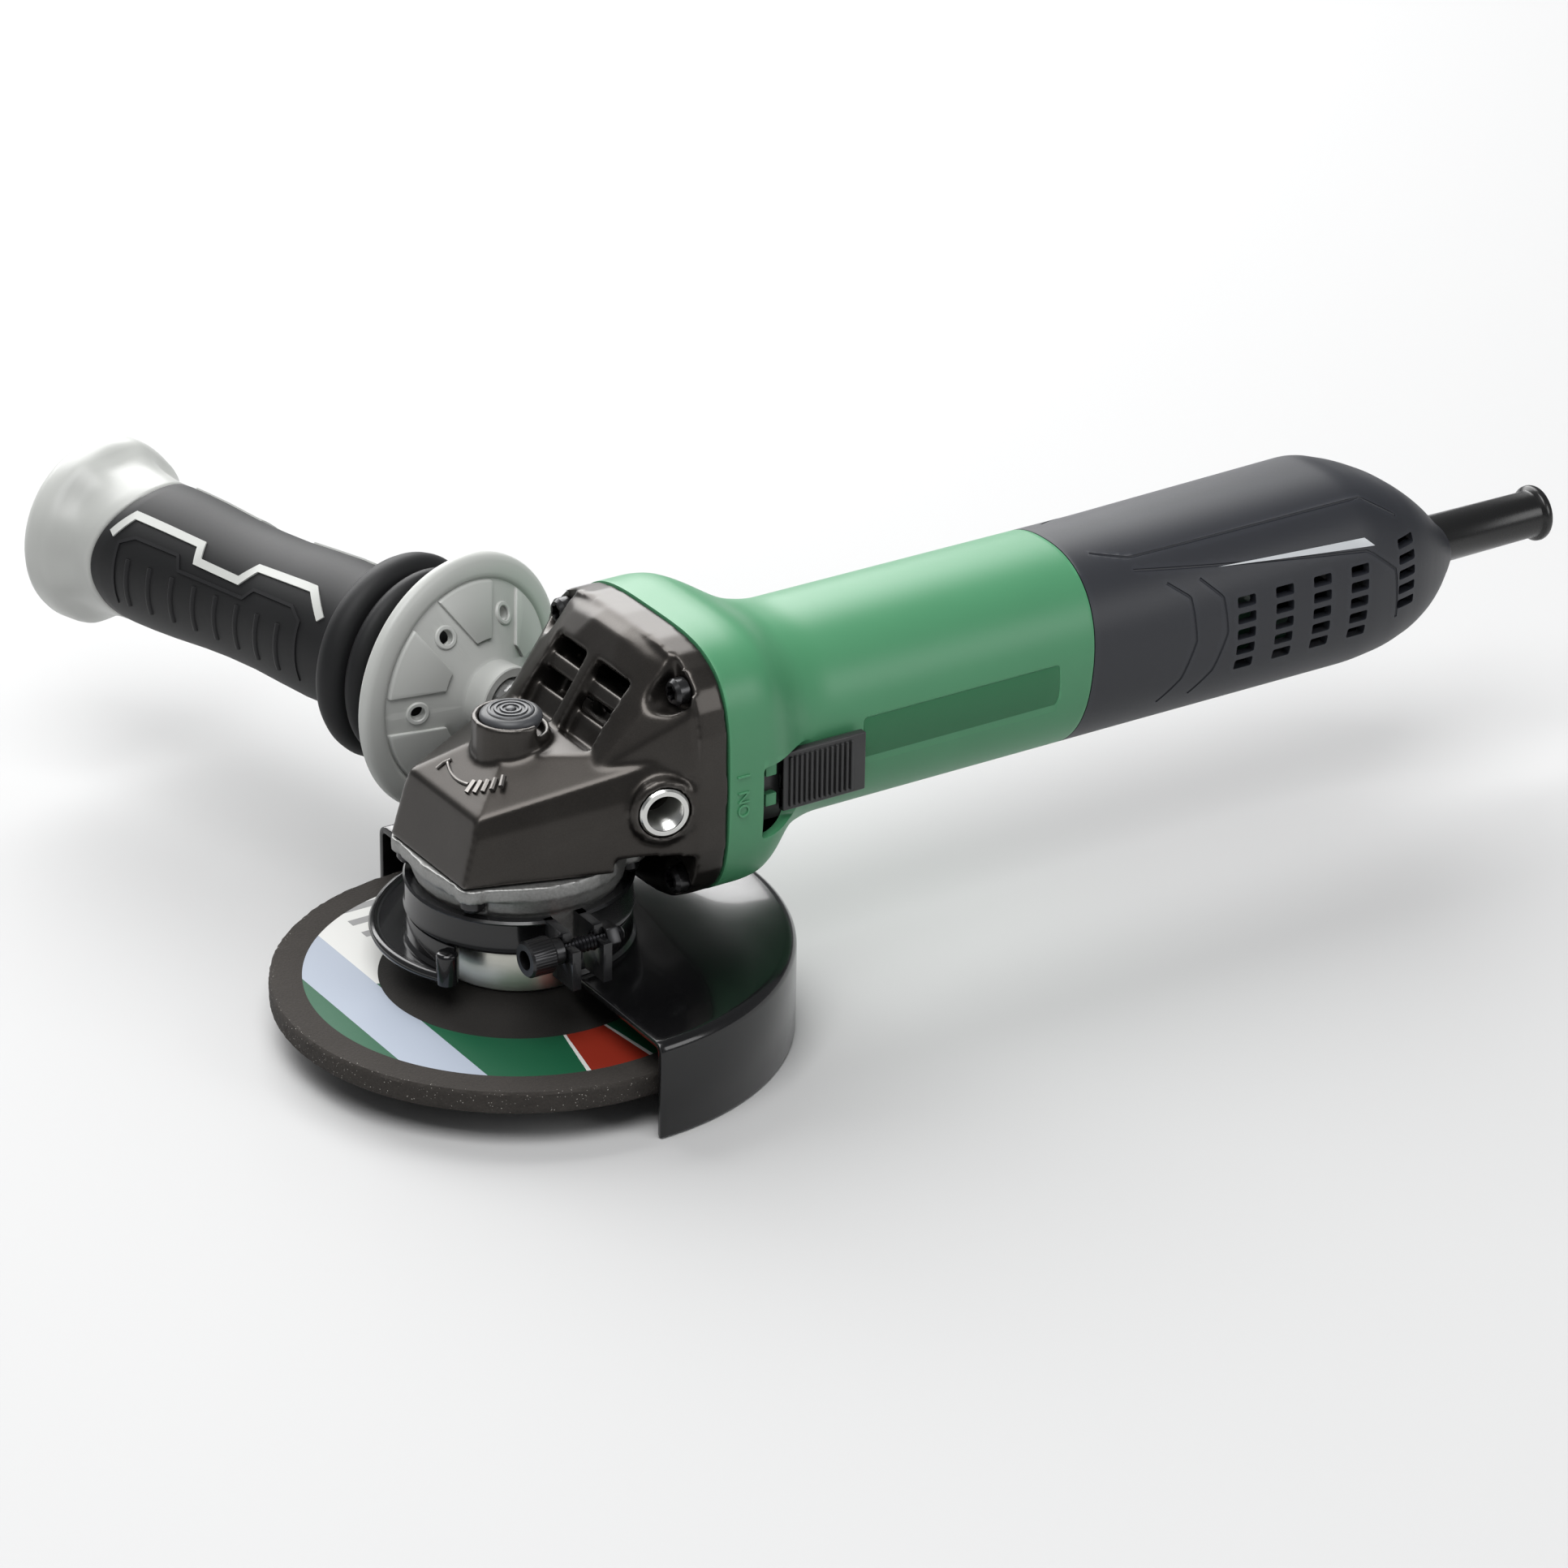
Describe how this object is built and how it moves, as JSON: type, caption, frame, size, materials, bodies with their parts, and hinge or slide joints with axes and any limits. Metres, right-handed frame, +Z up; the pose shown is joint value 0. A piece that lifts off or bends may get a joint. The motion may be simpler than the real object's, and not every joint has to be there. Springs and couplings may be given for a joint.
{
  "type": "angle grinder",
  "caption": "Hand-held angle grinder with a depressed-centre wheel, half-round guard on a clamp band, angled side handle, slide switch and spindle lock button.",
  "frame": {"origin": "middle of the spindle's lower end face, on the spindle axis", "axes": "+Z up along the spindle, +X along the motor axis from the spindle to the cord end, +Y to the side that the handle is screwed into; the motor axis is 62 mm above the origin"},
  "size_m": [0.3835, 0.266, 0.1051],
  "materials": {
    "cast_paint": "satin dark bronze-grey paint on an aluminium casting",
    "bare_casting": "bare, slightly grainy die casting",
    "bright_steel": "turned and zinc plated",
    "dark_steel": "black oxide",
    "copper": "varnished copper wire",
    "green_plastic": "satin glass-filled nylon",
    "dark_green_plastic": "smooth plate",
    "black_plastic": "fine satin",
    "grey_plastic": "fine matte grain",
    "white_plastic": "satin off-white nylon",
    "rubber": "soft matte elastomer",
    "black_paint": "gloss black powder coat on pressed steel",
    "abrasive": "resin-bonded grit, rough and sparkling",
    "board": "lacquered circuit board"
  },
  "bodies": {
    "housing": {"gear_case": "cast_paint", "flange_screw_1": "dark_steel", "flange_screw_2": "dark_steel", "flange_screw_3": "dark_steel", "flange_screw_4": "dark_steel", "handle_insert_near": "bright_steel", "handle_insert_far": "bright_steel", "bearing_cover": "bare_casting", "cover_screw_1": "dark_steel", "cover_screw_2": "dark_steel", "cover_screw_3": "dark_steel", "cover_screw_4": "dark_steel", "spindle_bearing": "bright_steel", "bearing_retainer": "bright_steel", "felt_seal": "rubber", "top_bush": "bright_steel", "lock_spring": "bright_steel", "front_motor_bearing": "bright_steel", "front_bearing_plate": "bright_steel", "rear_motor_bearing": "bright_steel", "stator": "dark_steel", "winding_front": "copper", "winding_rear": "copper", "motor_housing": "green_plastic", "badge_plate": "dark_green_plastic", "switch_block": "black_plastic", "controller_board": "board", "rear_housing": "grey_plastic", "cord_guard": "rubber", "cord_clamp": "black_plastic"},
    "spindle": {"spindle": "bright_steel", "crown_gear": "bright_steel", "inner_flange": "bright_steel", "grinding_wheel": "abrasive", "lock_nut": "dark_steel"},
    "rotor": {"rotor_shaft": "bright_steel", "pinion": "bright_steel", "rotor": "dark_steel", "cooling_fan": "black_plastic"},
    "lock_button": {"lock_button": "rubber", "lock_pin": "bright_steel"},
    "switch": {"switch_knob": "black_plastic", "switch_rod": "black_plastic"},
    "guard": {"guard_shroud": "black_paint", "clamp_band": "black_paint", "clamp_nut": "dark_steel", "clamp_washer": "dark_steel"},
    "clamp_screw": {"clamp_screw": "dark_steel"},
    "side_handle": {"handle_bolt": "bright_steel", "handle_disc": "white_plastic", "vibration_damper": "rubber", "handle_core": "white_plastic", "handle_grip": "rubber", "handle_end_cap": "white_plastic"}
  },
  "joints": [
    {"name": "spindle_spin", "type": "hinge", "parent": "housing", "child": "spindle", "pos_m": [0, 0, 0.062], "axis": [0, 0, 1], "continuous": true},
    {"name": "rotor_spin", "type": "hinge", "parent": "housing", "child": "rotor", "pos_m": [0, 0, 0.062], "axis": [1, 0, 0], "continuous": true},
    {"name": "lock_press", "type": "slide", "parent": "housing", "child": "lock_button", "axis": [0, 0, -1], "range_m": [0, 0.0036], "stiffness_N_per_m": 500, "springref_m": -0.002, "deforming": ["lock_spring"]},
    {"name": "switch_slide", "type": "slide", "parent": "housing", "child": "switch", "axis": [-1, 0, 0], "range_m": [0, 0.005]},
    {"name": "guard_turn", "type": "hinge", "parent": "housing", "child": "guard", "pos_m": [0, 0, 0.03], "axis": [0, 0, 1], "range_deg": [-180, 30]},
    {"name": "clamp_screw_turn", "type": "hinge", "parent": "guard", "child": "clamp_screw", "pos_m": [0, -0.0345, 0.0303], "axis": [1, 0, 0], "range_deg": [-360, 0]},
    {"name": "handle_unscrew", "type": "slide", "parent": "housing", "child": "side_handle", "axis": [-0.2504, 0.9681, 0], "range_m": [0, 0.016]}
  ],
  "couplings": [
    {"joint": "rotor_spin", "follows": "spindle_spin", "ratio": 4}
  ]
}
